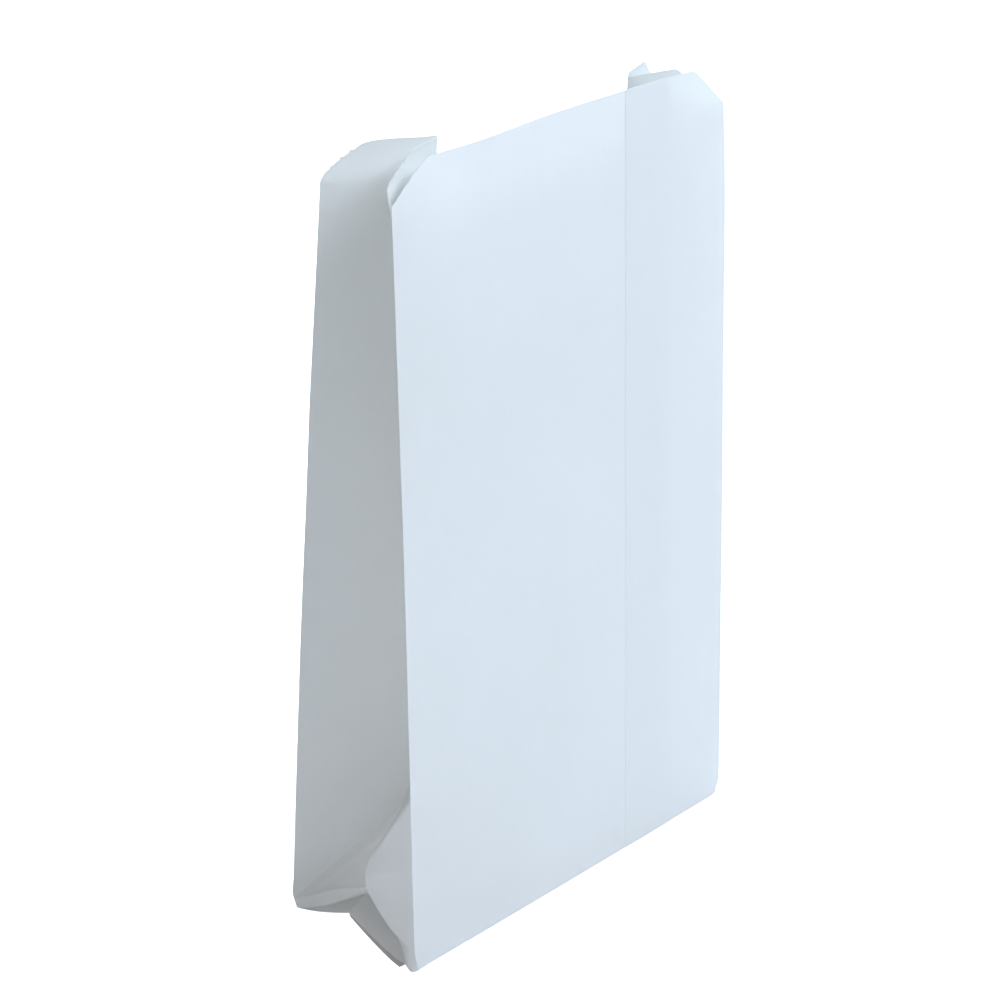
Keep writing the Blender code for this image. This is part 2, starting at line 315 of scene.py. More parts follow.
@dataclass(frozen=True)
class GussetFolds:
    """Where the creases of one side gusset lie, with x measured in from the bag's side.

    Above the join the gusset is a plain V.  Below it the back half has a slanted valley with a facet
    under it, and the front half a flat flap whose rear edge turns in.  Under both, the paper turns in
    at the eaves to a pocket, down to the floor.
    """

    sizes: BagSizes
    side: Side
    crease_foot: Vector = fixed(9.0, 21.0, 18.0)
    inner_foot: Vector = fixed(12.5, 22.8, 10.0)
    pocket: Vector = fixed(35.6, 27.4, 11.4)
    depth: float = 52.3
    depth_lean: float = 0.0875
    depth_bow: float = 0.00005
    foot_swell: Hump = Hump(0.3, 7.5, 7.0)
    middle_swell: Hump = Hump(0.38, 90.0, 80.0)
    top_pull: Ramp = Ramp(0.5, 170.0, 50.0)
    right_pull: float = 3.8
    left_bow: float = 0.55
    curl_from: float = 200.0
    curl_length: float = 40.0
    curl_power: float = 1.5
    outset_foot: float = 0.38
    outset_curl: float = 0.24
    top_set_back: Ramp = Ramp(0.25, 215.0, 25.0)
    left_crush: Push = Push(1.7, 8.0, 1.7)
    right_crush: Push = Push(3.1, 6.0, 1.7)
    left_dip: float = 0.4
    right_dip: float = 0.15
    join_reach: float = 45.0
    join_shift: Vector = fixed(1.1, -1.0, 0.0)
    mouth_shift: Ramp = Ramp(0.5, 190.0, 60.0)
    flap_reach: float = 19.1
    flap_top: float = 58.8
    flap_slope: float = 0.675
    flap_corner: float = 21.0
    flap_curve: float = 0.59
    flap_foot: float = 7.6
    foot_widening: float = 0.7
    corner_strip: float = 2.4
    strip_start: float = 0.8
    neutral_share: float = 0.45
    follow_low: float = 4.0
    follow_high: float = 50.0
    fade_low: float = 20.0
    fade_high: float = 45.0
    flap_x: float = -0.3
    flap_out_foot: float = 0.8
    flap_out_level: float = 16.0
    ridge_level: float = 35.2
    ridge_slope: float = 0.43
    ridge_reach: float = 9.0
    ridge_bend: float = 0.75
    ridge_fade: float = 8.0
    ridge_start: float = 0.3
    groove_way: Vector = fixed(0.7, 0.72, 0.0)
    groove_wall: Push = Push(0.9, 12.0, 2.0)
    groove_facet: Hump = Hump(0.9, 0.0, 4.0)
    groove_swell: Hump = Hump(0.35, -5.5, 3.5)
    groove_foot: float = 0.35
    groove_grown: float = 9.0
    groove_start: float = 2.5
    facet_way: Vector = fixed(-0.83, -0.07, 0.55)
    facet_swell: float = 1.2
    facet_foot: float = 0.15
    arch_way: Vector = fixed(-0.2, 0.0, 1.0)
    lip_arch: Hump = Hump(1.1, 0.5, 0.4)
    arch_fade: float = 9.0
    lip_roll: Hump = Hump(0.45, 0.0, 1.6)
    lip_start: float = 0.25
    eave_curve: float = 2.6
    eave_sag: float = 1.6
    rest_ends: float = 0.2
    rest_front: float = 3.0
    rest_gap: float = 0.3
    pocket_lift: float = 0.6
    floor_spring: float = 3.6
    spring_reach: float = 4.0
    spring_share: float = 0.35
    front_rounding: float = 0.9
    back_rounding: float = 0.5
    droop: float = 1.5
    droop_start: float = 1.2
    droop_fade: Ramp = Ramp(1.0, 1.5, 5.0)
    droop_level: Hump = Hump(1.0, 0.5, 2.4)
    droop_floor: float = -1.05
    flare: float = 1.8
    flare_way: Vector = fixed(-0.4, 0.916, 0.0)
    flare_start: float = 1.5
    flare_fade: Ramp = Ramp(1.0, 4.0, 18.0)
    flare_depth: float = 14.0

    def back_fold_y(self, z: float) -> float:
        """Depth of the fold between the back panel and this gusset."""
        depth = self.depth - self.depth_lean * z - self.depth_bow * z * z + self.foot_swell.at(z)
        depth += self.middle_swell.at(z) - self.top_pull.at(z)
        if self.side is Side.RIGHT:
            depth -= self.right_pull * z / self.sizes.height
        return depth

    def front_fold(self, w: float) -> Vector:
        """Point on the fold between the front panel and this gusset, its crushed foot left out."""
        share = min(max(w / self.sizes.height, 0.0), 1.0)
        if self.side is Side.LEFT:
            return Vector((self.left_bow * math.sin(math.pi * share), 0.0, w))
        curl = (max(0.0, w - self.curl_from) / self.curl_length) ** self.curl_power
        outset = mix(self.outset_foot, self.outset_curl, ease(w / self.curl_from))
        return Vector((curl - outset, self.top_set_back.at(w), w))

    def crushed(self, w: float) -> float:
        """How far the foot of the front fold is pushed in, at its height or its depth below the bag."""
        return (self.left_crush if self.side is Side.LEFT else self.right_crush).at(w)

    def back_fold(self, w: float) -> Vector:
        """Point on the fold between the back panel and this gusset."""
        return Vector((0.0, self.back_fold_y(w), w))

    def front_edge(self, w: float) -> Vector:
        """Point on the sheet's fold at the front, down the front and along under the floor."""
        if w >= 0.0:
            point = self.front_fold(w)
            point.x += self.crushed(w)
            point.z -= self.dip() * (1.0 - ease(w / self.sizes.foot_fade))
            return point
        y = self.sizes.closure_y * min(-w / self.sizes.floor_half, 1.0)
        return Vector((self.crushed(y), y, self.floor_z(y, -self.dip())))

    def dip(self) -> float:
        """How far the bag's front corner on this side lies below the front edge's level."""
        return self.left_dip if self.side is Side.LEFT else self.right_dip

    def back_edge(self, w: float) -> Vector:
        """Point on the sheet's fold at the back, down the back and along under the floor."""
        sizes = self.sizes
        foot = Vector((0.0, sizes.back_edge_y, sizes.back_end_z))
        if w >= sizes.back_foot:
            return self.back_fold(w)
        if w >= 0.0:
            return mix(foot, self.back_fold(sizes.back_foot), w / sizes.back_foot)
        share = min(-w / sizes.floor_half, 1.0)
        rise = (sizes.closure_z - sizes.back_end_z) * share ** sizes.floor_back_arch
        return Vector((0.0, mix(sizes.back_edge_y, sizes.closure_y, share), sizes.back_end_z + rise))

    def floor_z(self, y: float, base: float) -> float:
        """Height of the front half of the floor, arched up from its base to the closure line."""
        share = min(max(y / self.sizes.closure_y, 0.0), 1.0)
        return mix(base, self.sizes.closure_z, share ** self.sizes.floor_front_arch)

    def join_level(self) -> float:
        """Paper level at which the slanted valley meets the centre crease."""
        return self.sizes.gusset_half + self.sizes.eave

    def centre_crease(self, w: float) -> Vector:
        """Point on the centre crease at paper level w."""
        eave, half = self.sizes.eave, self.sizes.gusset_half
        level = max(w, self.join_level())
        half_depth = self.back_fold_y(level) / 2.0
        near_join = bump(level - self.join_level(), self.join_reach)
        inner = Vector((math.sqrt(half ** 2 - half_depth ** 2), half_depth, level))
        inner += self.join_shift * near_join
        if self.side is Side.LEFT:
            inner.x += self.mouth_shift.at(w)
        if w >= self.join_level():
            return inner
        if w >= eave:
            return mix(self.crease_foot, inner, (w - eave) / half)
        if w >= 0.0:
            return mix(self.crease_foot, self.inner_foot, 1.0 - w / eave)
        return mix(self.inner_foot, self.pocket, min(-w / self.sizes.floor_half, 1.0))

    def valley(self, w: float) -> Vector:
        """Point on the 45 degree valley that runs from the back fold up to the centre crease."""
        eave, half = self.sizes.eave, self.sizes.gusset_half
        return mix(self.back_edge(eave), self.centre_crease(self.join_level()), (w - eave) / half)

    def turn(self, w: float) -> float:
        """Distance from the front fold at which the flap's paper turns in, at level w."""
        if w >= self.flap_corner:
            slanted = self.flap_slope * (self.flap_top - w)
            blend = math.exp(self.flap_reach - slanted)
            return max(self.flap_reach - math.log(1.0 + blend), 0.0)
        if w >= self.flap_foot:
            share = (w - self.flap_foot) / (self.flap_corner - self.flap_foot)
            return mix(self.corner_strip, self.flap_reach, share ** self.flap_curve)
        widening = 1.0 + self.foot_widening * (1.0 - w / self.flap_foot) ** 2
        return self.corner_strip * widening * ease(w / self.strip_start)

    def column_turn(self, w: float) -> float:
        """Distance from the front fold of the sheet's line that follows the flap's rear edge."""
        neutral = self.neutral_share * self.sizes.gusset_half
        low, high = self.follow_low, self.follow_high
        if w > high:
            return mix(self.turn(high), neutral, ease((w - high) / self.fade_high))
        if w < low:
            return mix(self.turn(low), neutral, ease((low - w) / self.fade_low))
        return self.turn(w)

    def flap(self, s: float, w: float) -> Vector:
        """Point on the flat flap, which is bent a little along a faint crease."""
        reach = mix(self.flap_out_foot, self.flap_reach, ease(w / self.flap_out_level))
        out = min(s / reach, 1.0)
        edge = self.front_edge(w)
        ridge = self.ridge_level - self.ridge_slope * s
        bend = max(0.0, 1.0 - abs(w - ridge) / self.ridge_reach)
        bend *= ease(s / self.ridge_fade + self.ridge_start)
        x = mix(edge.x, self.flap_x, out) - self.ridge_bend * bend
        return Vector((x, edge.y + s, edge.z))

    def front_shape(self, s: float, w: float) -> Vector:
        """Point on the front half with every fold sharp, at distance s from the front fold."""
        half = self.sizes.gusset_half
        if w < 0.0:
            return self.pocket_point(s, w, self.front_edge(w))
        turn = self.turn(w)
        if s < turn:
            return self.flap(s, w)
        start = self.flap(turn, w) if turn > 0.0 else self.front_edge(w)
        point = mix(start, self.centre_crease(w), (s - turn) / (half - turn))
        rest = self.floor_under(point, point.z) - point.z
        point.z += rest * max(1.0 - w / self.sizes.eave, 0.0)
        return point

    def back_shape(self, s: float, w: float) -> Vector:
        """Point on the back half with every fold sharp, at distance s from the back fold."""
        half, eave = self.sizes.gusset_half, self.sizes.eave
        if w < 0.0:
            return self.pocket_point(s, w, self.back_edge(w))
        start, end = self.back_edge(w), self.centre_crease(w)
        bend_s = w - eave
        if bend_s >= half:
            return mix(start, end, s / half)
        if bend_s <= 0.0:
            return self.back_eave(s, w)
        bend = self.valley(w)
        if s <= bend_s:
            point = mix(start, bend, s / bend_s)
            return point + self.groove(bend_s - s, bend_s)
        share = (s - bend_s) / (half - bend_s)
        point = mix(bend, end, share) + self.facet_shift(share, bend_s)
        return point + self.groove(bend_s - s, bend_s)

    def groove(self, distance: float, along: float) -> Vector:
        """Shift of the paper near the slanted valley, pinched in along it.

        Args:
            distance: Distance from the valley across the wall, negative on the facet's side.
            along: Distance of this level's valley from the back fold.

        Returns:
            The shift, square to the wall.
        """
        if distance >= 0.0:
            pinch = self.groove_wall.at(distance)
        else:
            pinch = self.groove_facet.at(distance) - self.groove_swell.at(distance)
        fade = mix(self.groove_foot, 1.0, ease(along / self.groove_grown))
        fade *= ease(along / self.groove_start)
        return self.groove_way * pinch * fade

    def facet_shift(self, share: float, bend_s: float) -> Vector:
        """Bulge of the facet under the valley, with its lip arched along the eave.

        Args:
            share: Share of the way from the valley to the centre crease.
            bend_s: Distance of the valley from the back fold at this level.

        Returns:
            The shift, towards the gusset's outside and up.
        """
        rest = 1.0 - bend_s / self.sizes.gusset_half
        swell = self.facet_swell * math.sin(math.pi * share)
        swell *= min(rest, 4.0 * rest * (1.0 - rest) + self.facet_foot)
        arch = self.lip_arch.at(share) * (1.0 - ease(bend_s / self.arch_fade))
        lip = self.lip_roll.at(bend_s) * ease(share / self.lip_start)
        return self.facet_way * (swell + lip) + self.arch_way * arch

    def back_eave(self, s: float, w: float) -> Vector:
        """Point on the back half between the eave and the level of the floor's edge."""
        sizes = self.sizes
        share = s / sizes.gusset_half
        high = mix(self.back_edge(sizes.eave), self.centre_crease(sizes.eave), share)
        high += self.facet_shift(share, 0.0)
        low = mix(self.back_edge(0.0), self.centre_crease(0.0), share)
        low.x = self.inner_foot.x * share ** self.eave_curve
        low.z = self.floor_under(low, low.z - self.eave_sag * math.sin(math.pi * share))
        return mix(low, high, w / sizes.eave)

    def floor_under(self, point: Vector, z: float) -> float:
        """Height raised, where needed, to rest on the floor below a point."""
        sizes = self.sizes
        share = max(sizes.back_edge_y - point.y, 0.0) / (sizes.back_edge_y - sizes.closure_y)
        if share > 1.0:
            floor = self.floor_z(point.y, -self.dip())
        else:
            floor = mix(sizes.back_end_z, sizes.closure_z, share ** sizes.floor_back_arch)
        ends = ease(share / self.rest_ends) * ease(point.y / self.rest_front)
        return max(z, floor + (self.spring(point.x, sizes.gusset_half) + self.rest_gap) * ends)

    def pocket_point(self, s: float, w: float, edge: Vector) -> Vector:
        """Point below the bottom fold, on the floor's triangle or on the pocket's wall above it.

        Args:
            s: Distance from the panel fold.
            w: Paper level, below zero.
            edge: Place of the panel fold at this level.

        Returns:
            The point.
        """
        half = self.sizes.gusset_half
        share = min(-w / self.sizes.floor_half, 1.0)
        reach = half * share
        if s <= reach:
            return edge + Vector((s, 0.0, self.spring(s, reach)))
        diagonal = edge + Vector((reach, 0.0, self.spring(reach, reach)))
        share = (s - reach) / max(half - reach, TINY)
        lift = Vector((0.0, 0.0, self.pocket_lift * math.sin(math.pi * share)))
        return mix(diagonal, self.centre_crease(w), share) + lift

    def spring(self, s: float, reach: float) -> float:
        """Height of the floor's triangle above its folded edge, as the paper springs up from it."""
        most = min(self.floor_spring, self.spring_share * reach)
        return most * (1.0 - math.exp(-s / self.spring_reach))

    def place(self, s: float, w: float, front: bool) -> Vector:
        """Point on this gusset, its folds rounded as paper rounds them.

        Args:
            s: Distance from the panel fold.
            w: Paper level.
            front: True on the front half.

        Returns:
            The point, with x measured in from the bag's side.
        """
        shape = self.front_shape if front else self.back_shape
        rounding = self.front_rounding if front else self.back_rounding
        reach = min(rounding, s, self.sizes.gusset_half - s)
        point = shape(s, w) * 2.0
        point += shape(s - reach, w) + shape(s + reach, w)
        point += shape(s, w - reach) + shape(s, w + reach)
        point /= 6.0
        if front and self.side is Side.LEFT:
            droop = self.droop * min(s / self.droop_start, 1.0)
            droop *= 1.0 - self.droop_fade.at(s)
            droop *= self.droop_level.at(w)
            point.z = max(point.z - droop, min(point.z, self.droop_floor))
        return point

    def flare_out(self, s: float, below_cut: float) -> Vector:
        """Shift of the front half's torn top corner, which stands out from the bag.

        Args:
            s: Distance from the front fold.
            below_cut: Distance below the cut edge.

        Returns:
            The shift.
        """
        if self.side is Side.RIGHT:
            return Vector()
        size = self.flare * ease(s / self.flare_start) * (1.0 - self.flare_fade.at(s))
        return self.flare_way * size * ease(1.0 - below_cut / self.flare_depth)


@dataclass(frozen=True)
class Undulation:
    """Gentle waves and small dents of handled paper."""

    wave: float = 0.35
    wave_size: float = 55.0
    cockle: float = 0.05
    cockle_size: float = 11.0
    depth_share: float = 0.8
    wave_stretch: float = 1.6
    cockle_stretch: float = 2.0
    seed: float = 7.3
    seed_step: float = 4.0

    def offset(self, place: Vector) -> float:
        """How far the paper stands out of its smooth form at a place on the folded bag."""
        along = place.x + self.depth_share * place.y
        high = place.z / (self.wave_stretch * self.wave_size)
        broad = noise.noise(Vector((along / self.wave_size, high, self.seed)))
        high = place.z / (self.cockle_stretch * self.cockle_size)
        fine = noise.noise(Vector((along / self.cockle_size, high, self.seed + self.seed_step)))
        return self.wave * broad + self.cockle * fine


@dataclass(frozen=True)
class PaperFinish:
    """Plain white machine paper with faint fibres running up the sheet."""

    colour: Triple = (0.93, 0.935, 0.925)
    darker: Triple = (0.905, 0.91, 0.895)
    roughness: float = 0.62
    through: float = 0.4
    fibre_scale: Triple = (900.0, 60.0, 1.0)
    cloud_scale: Triple = (28.0, 14.0, 1.0)
    grain_scale: Triple = (1500.0, 1100.0, 1.0)
    fibre_share: float = 0.45

    def material(self) -> bpy.types.Material:
        """Build the paper material.

        Returns:
            The finished material.
        """
        material = bpy.data.materials.new("paper")
        material.use_nodes = True
        tree = material.node_tree
        add, link = tree.nodes.new, tree.links.new
        shader = tree.nodes["Principled BSDF"]
        shader.inputs["Roughness"].default_value = self.roughness
        shader.inputs["Specular IOR Level"].default_value = 0.25
        sheet = add("ShaderNodeUVMap")
        sheet.uv_map = "sheet"

        fibres = self.pattern(tree, sheet, self.fibre_scale, 3.0)
        clouds = self.pattern(tree, sheet, self.cloud_scale, 4.0)
        grain = self.pattern(tree, sheet, self.grain_scale, 2.0)

        blend = add("ShaderNodeMath")
        blend.operation = "MULTIPLY_ADD"
        blend.inputs[1].default_value = self.fibre_share
        link(fibres, blend.inputs[0])
        link(clouds, blend.inputs[2])
        ramp = add("ShaderNodeValToRGB")
        ramp.color_ramp.elements[0].position = 0.35
        ramp.color_ramp.elements[0].color = (*self.darker, 1.0)
        ramp.color_ramp.elements[1].position = 1.0
        ramp.color_ramp.elements[1].color = (*self.colour, 1.0)
        link(blend.outputs[0], ramp.inputs["Fac"])
        link(ramp.outputs["Color"], shader.inputs["Base Color"])

        relief = add("ShaderNodeMath")
        relief.operation = "ADD"
        link(fibres, relief.inputs[0])
        link(grain, relief.inputs[1])
        bump_node = add("ShaderNodeBump")
        bump_node.inputs["Strength"].default_value = 0.12
        bump_node.inputs["Distance"].default_value = 0.05 * MM
        link(relief.outputs[0], bump_node.inputs["Height"])
        link(bump_node.outputs["Normal"], shader.inputs["Normal"])

        through = add("ShaderNodeBsdfTranslucent")
        link(ramp.outputs["Color"], through.inputs["Color"])
        both = add("ShaderNodeMixShader")
        both.inputs[0].default_value = self.through
        link(shader.outputs[0], both.inputs[1])
        link(through.outputs[0], both.inputs[2])
        output = tree.nodes["Material Output"]
        link(both.outputs[0], output.inputs["Surface"])
        return material

    def pattern(self, tree: bpy.types.NodeTree, sheet: bpy.types.Node,
                scale: Triple, detail: float) -> bpy.types.NodeSocket:
        """Add a noise pattern that follows the sheet.

        Args:
            tree: Node tree to build in.
            sheet: Node that gives the sheet's own measure.
            scale: Repeats per metre across and up.
            detail: Octaves of the noise.

        Returns:
            The noise value's output socket.
        """
        mapping = tree.nodes.new("ShaderNodeMapping")
        mapping.inputs["Scale"].default_value = scale
        texture = tree.nodes.new("ShaderNodeTexNoise")
        texture.inputs["Scale"].default_value = 1.0
        texture.inputs["Detail"].default_value = detail
        tree.links.new(sheet.outputs["UV"], mapping.inputs["Vector"])
        tree.links.new(mapping.outputs["Vector"], texture.inputs["Vector"])
        return texture.outputs["Fac"]


@dataclass
class PaperBag:
    """The whole bag, folded from one sheet."""

    sizes: BagSizes = BagSizes()
    finish: PaperFinish = PaperFinish()
    undulation: Undulation = Undulation()
    panel_columns: int = 91
    gusset_columns: int = 32
    flap_columns: int = 14
    plain_level: float = 60.0
    top_level: float = 215.0
    shoulder: float = 0.72
    front_layer: float = 1.5
    gusset_front_layer: float = 1.3
    gusset_back_layer: float = 0.45
    layer_step: float = 1.2
    layer_close: float = 0.6
    layer_thin: float = 0.75
    strip_turn: Ramp = Ramp(1.0, 10.0, 135.0)
    strip_end_y: float = 1.0
    least_y: float = 0.3
    strip_below: float = 0.9
    strip_arch: float = 1.25
    seam_lift: float = 0.165
    seam_fade: float = 2.0
    seam_edge: float = 0.4
    seam_edge_reach: float = 3.0
    base_drop: float = 0.15
    base_sag: float = 0.32
    corner_drop: Push = Push(0.25, 8.0, 2.0)
    corner_power: int = 16
    end_lift_power: int = 4
    mouth_depth: float = 7.0
    sink_power: float = 2.2
    sink_ends: float = 1.45
    calm_foot: Ramp = Ramp(1.0, 2.0, 40.0)
    calm_gusset: float = 0.85
    calm_edge: float = 6.0
    calm_end: Ramp = Ramp(1.0, 60.0, 80.0)
    rim_share: float = 0.85
    rim_step: float = 2.6
    fold_width: float = 0.1
    tooth: float = 0.3
    slanted_tooth: float = 0.25
    slanted_from: float = 0.2
    tooth_range: tuple[float, float] = (0.7, 1.25)
    tooth_cuts: int = 3
    tooth_lean: float = 0.1
    crisp_angle: float = 0.42
    seed: int = 11

    def __post_init__(self) -> None:
        """Set up the folds of both gussets and the top cut."""
        self.left = GussetFolds(self.sizes, Side.LEFT)
        self.right = GussetFolds(self.sizes, Side.RIGHT)
        self.cut = TopCut(self.sizes)
        self.columns = self.make_columns()
        self.rows = self.make_rows()

    def make_columns(self) -> list[Column]:
        """Lay out the sheet's lengthwise lines, from the overlapping edge round to the covered one.

        Returns:
            The columns in order round the bag.
        """
        sizes = self.sizes
        step = sizes.width / self.panel_columns
        half, width = sizes.gusset_half, sizes.width
        right_count = round((width - sizes.seam_from) / step)
        left_count = round(sizes.seam_to / step)
        runs = [
            (Zone.FRONT_OVER, sizes.seam_from, width, right_count),
            (Zone.RIGHT_FRONT_HALF, 0.0, half, self.gusset_columns),
            (Zone.RIGHT_BACK_HALF, half, 0.0, self.gusset_columns),
            (Zone.BACK, width, 0.0, self.panel_columns),
            (Zone.LEFT_BACK_HALF, 0.0, half, self.gusset_columns),
            (Zone.LEFT_FRONT_HALF, half, 0.0, self.gusset_columns),
            (Zone.FRONT_UNDER, 0.0, sizes.seam_to, left_count),
        ]
        columns = [Column(Zone.FRONT_OVER, sizes.seam_from, 0.0)]
        across = 0.0
        for zone, start, end, count in runs:
            for local in spread(start, end, count):
                columns.append(Column(zone, local, across + abs(local - start)))
            across += abs(end - start)
        return columns

    def make_rows(self) -> list[float]:
        """Lay out the sheet's crosswise lines, from the turned strip's free edge up.

        Returns:
            Paper levels; the last rows, above the level where the cut begins to matter, are
            numbers above CUT_ROWS whose excess is the share of the way up to the cut.
        """
        sizes = self.sizes
        closure = -sizes.floor_half
        runs = [
            (closure - 0.5, 8),
            (closure, 1),
            (0.0, self.gusset_columns),
            (sizes.eave, 7),
            (sizes.eave + sizes.gusset_half, self.gusset_columns),
            (self.plain_level, 13),
            (self.top_level, 30),
        ]
        rows = [closure - sizes.strip]
        for end, count in runs:
            rows += spread(rows[-1], end, count)
        shares = spread(0.0, self.shoulder, 8) + spread(self.shoulder, 1.0, 9)
        return rows + [CUT_ROWS + share for share in shares]

    def place_on_sheet(self, column: Column, row: float) -> Column:
        """Move a column of a gusset's front half sideways, so that one of them follows the flap.

        Args:
            column: The column in its neutral place.
            row: Paper level.

        Returns:
            The column as it lies at this level.
        """
        if column.zone not in FRONT_HALVES:
            return column
        half = self.sizes.gusset_half
        turn = self.left.column_turn(min(row, self.top_level))
        index = column.local / half * self.gusset_columns
        if index <= self.flap_columns:
            s = turn * index / self.flap_columns
        else:
            s = mix(turn, half, (index - self.flap_columns) / (self.gusset_columns - self.flap_columns))
        shift = s - column.local
        if column.zone is Zone.LEFT_FRONT_HALF:
            shift = -shift
        return Column(column.zone, s, column.across + shift)

    def level(self, column: Column, row: float) -> float:
        """Paper level of a row at a column, which follows the cut near the top."""
        if row < CUT_ROWS:
            return row
        return mix(self.top_level, self.cut.height(column), row - CUT_ROWS)

    def back_y(self, x: float, z: float) -> float:
        """Depth of the back panel, which sinks forwards between its folds towards the mouth."""
        across = x / self.sizes.width
        fold = mix(self.left.back_fold_y(z), self.right.back_fold_y(z), across)
        height = self.sizes.height
        middle = mix(self.left.back_fold_y(height), self.right.back_fold_y(height), 0.5)
        sink = (middle - self.mouth_depth) * (max(z, 0.0) / height) ** self.sink_power
        return fold - sink * ease(self.sink_ends - self.sink_ends * abs(2.0 * across - 1.0))

    def strip_point(self, x: float, w: float, layer: float) -> Vector:
        """Point on the turned strip under the floor.

        Args:
            x: Distance along the front.
            w: Paper level, below the closure line.
            layer: How far above the strip's lowest layer this one lies.

        Returns:
            The point.
        """
        sizes = self.sizes
        share = 1.0 - min((-w - sizes.floor_half) / sizes.strip, 1.0)
        forward = self.strip_turn.at(x)
        lowest = mix(sizes.strip_free_y, self.strip_end_y, forward)
        free_y = lowest - self.layer_step * layer * (1.0 - self.layer_close * forward)
        y = mix(max(free_y, self.least_y), sizes.closure_y, share)
        up = min(max((y - lowest) / (sizes.closure_y - lowest), 0.0), 1.0)
        base = sizes.lowest_layer - sizes.strip_drop
        z = mix(base, sizes.closure_z - self.strip_below, up ** self.strip_arch)
        return Vector((x, y, z + layer * (1.0 - self.layer_thin * up * up)))

    def back_base_z(self, x: float) -> float:
        """Height of the bottom back fold, which lifts towards both ends."""
        sizes = self.sizes
        off_centre = abs(2.0 * x / sizes.width - 1.0)
        base = sizes.lowest_layer - sizes.strip_drop
        return mix(base, sizes.back_end_z, off_centre ** self.end_lift_power)

    def front_point(self, x: float, w: float, over: bool) -> Vector:
        """Point on the front panel, the front half of the floor or the strip below it."""
        sizes = self.sizes
        layer = 0.0
        if over:
            layer = -self.seam_lift * (1.0 - ease((x - sizes.seam_to) / self.seam_fade))
            layer *= mix(self.seam_edge, 1.0, ease((x - sizes.seam_from) / self.seam_edge_reach))
        if sizes.on_strip(w):
            return self.strip_point(x, w, self.front_layer + layer)
        share = x / sizes.width
        base = -self.base_drop - self.base_sag * math.sin(math.pi * share) - self.corner_drop.at(x)
        near_left, near_right = (1.0 - share) ** self.corner_power, share ** self.corner_power
        if w < 0.0:
            y = sizes.closure_y * min(-w / sizes.floor_half, 1.0)
            sideways = self.left.crushed(y) * near_left - self.right.crushed(y) * near_right
            return Vector((x + sideways, y, self.left.floor_z(y, base) + layer))
        left, right = self.left.front_fold(w), self.right.front_fold(w)
        sideways = left.x * (1.0 - share) ** 2 - right.x * near_right
        sideways += self.left.crushed(w) * near_left - self.right.crushed(w) * near_right
        z = w + base * (1.0 - ease(w / sizes.foot_fade))
        return Vector((x + sideways, layer + right.y * near_right, z))

    def back_point(self, x: float, w: float) -> Vector:
        """Point on the back panel, the back half of the floor or the strip's lowest layer."""
        sizes = self.sizes
        if sizes.on_strip(w):
            return self.strip_point(x, w, 0.0)
        base = self.back_base_z(x)
        if w < 0.0:
            share = min(-w / sizes.floor_half, 1.0)
            z = mix(base, sizes.closure_z, share ** sizes.floor_back_arch)
            return Vector((x, mix(sizes.back_edge_y, sizes.closure_y, share), z))
        foot = sizes.back_foot
        level = mix(base, foot, w / foot) if w < foot else w
        y = self.back_y(x, level)
        if w < foot:
            y = mix(sizes.back_edge_y, y, w / foot)
        return Vector((x, y, level))

    def gusset_point(self, s: float, w: float, zone: Zone) -> Vector:
        """Point on either gusset."""
        right = zone in (Zone.RIGHT_FRONT_HALF, Zone.RIGHT_BACK_HALF)
        front = zone in FRONT_HALVES
        folds = self.right if right else self.left
        if self.sizes.on_strip(w):
            x = self.sizes.width - s if right else s
            return self.strip_point(x, w, self.gusset_front_layer if front else self.gusset_back_layer)
        point = folds.place(s, w, front)
        if zone is Zone.LEFT_FRONT_HALF:
            point += folds.flare_out(s, self.cut.gusset(s, zone) - w)
        if right:
            point.x = self.sizes.width - point.x
        return point

    def folded(self, column: Column, w: float) -> Vector:
        """Place of a point of the sheet on the folded bag."""
        if column.zone is Zone.BACK:
            return self.back_point(column.local, w)
        if column.zone in (Zone.FRONT_OVER, Zone.FRONT_UNDER):
            return self.front_point(column.local, w, column.zone is Zone.FRONT_OVER)
        return self.gusset_point(column.local, w, column.zone)

    def fold_sheet(self) -> bmesh.types.BMesh:
        """Make the flat sheet and fold it.

        Returns:
            The folded and cut sheet, one layer thick.
        """
        bm = bmesh.new()
        across, up = len(self.columns) - 1, len(self.rows) - 1
        grid = bmesh.ops.create_grid(bm, x_segments=across, y_segments=up, size=1.0)
        uv = bm.loops.layers.uv.new("sheet")
        flat = {}
        for vert in grid["verts"]:
            row = self.rows[round((vert.co.y + 1.0) / 2.0 * up)]
            column = self.place_on_sheet(self.columns[round((vert.co.x + 1.0) / 2.0 * across)], row)
            w = self.level(column, row)
            flat[vert] = (column, w)
            vert.co = self.folded(column, w)
        for face in bm.faces:
            for loop in face.loops:
                column, w = flat[loop.vert]
                loop[uv].uv = Vector((column.across, w)) * MM
        bm.normal_update()
        self.ripple(bm, flat)
        self.cut_teeth(bm, flat)
        return bm

    def ripple(self, bm: bmesh.types.BMesh, flat: dict) -> None:
        """Give the walls the gentle unevenness of handled paper.

        Args:
            bm: The folded sheet.
            flat: Place of each vertex on the flat sheet.
        """
        half = self.sizes.gusset_half
        shifts = {}
        for vert, (column, w) in flat.items():
            strength = self.calm_foot.at(w)
            if column.zone in FRONT_HALVES:
                inner = ease(column.local / self.calm_edge) * ease((half - column.local) / self.calm_edge)
                strength *= 1.0 - self.calm_gusset * inner * (1.0 - self.calm_end.at(w))
            shifts[vert] = vert.normal * self.undulation.offset(vert.co) * strength
        for vert, shift in shifts.items():
            vert.co += shift

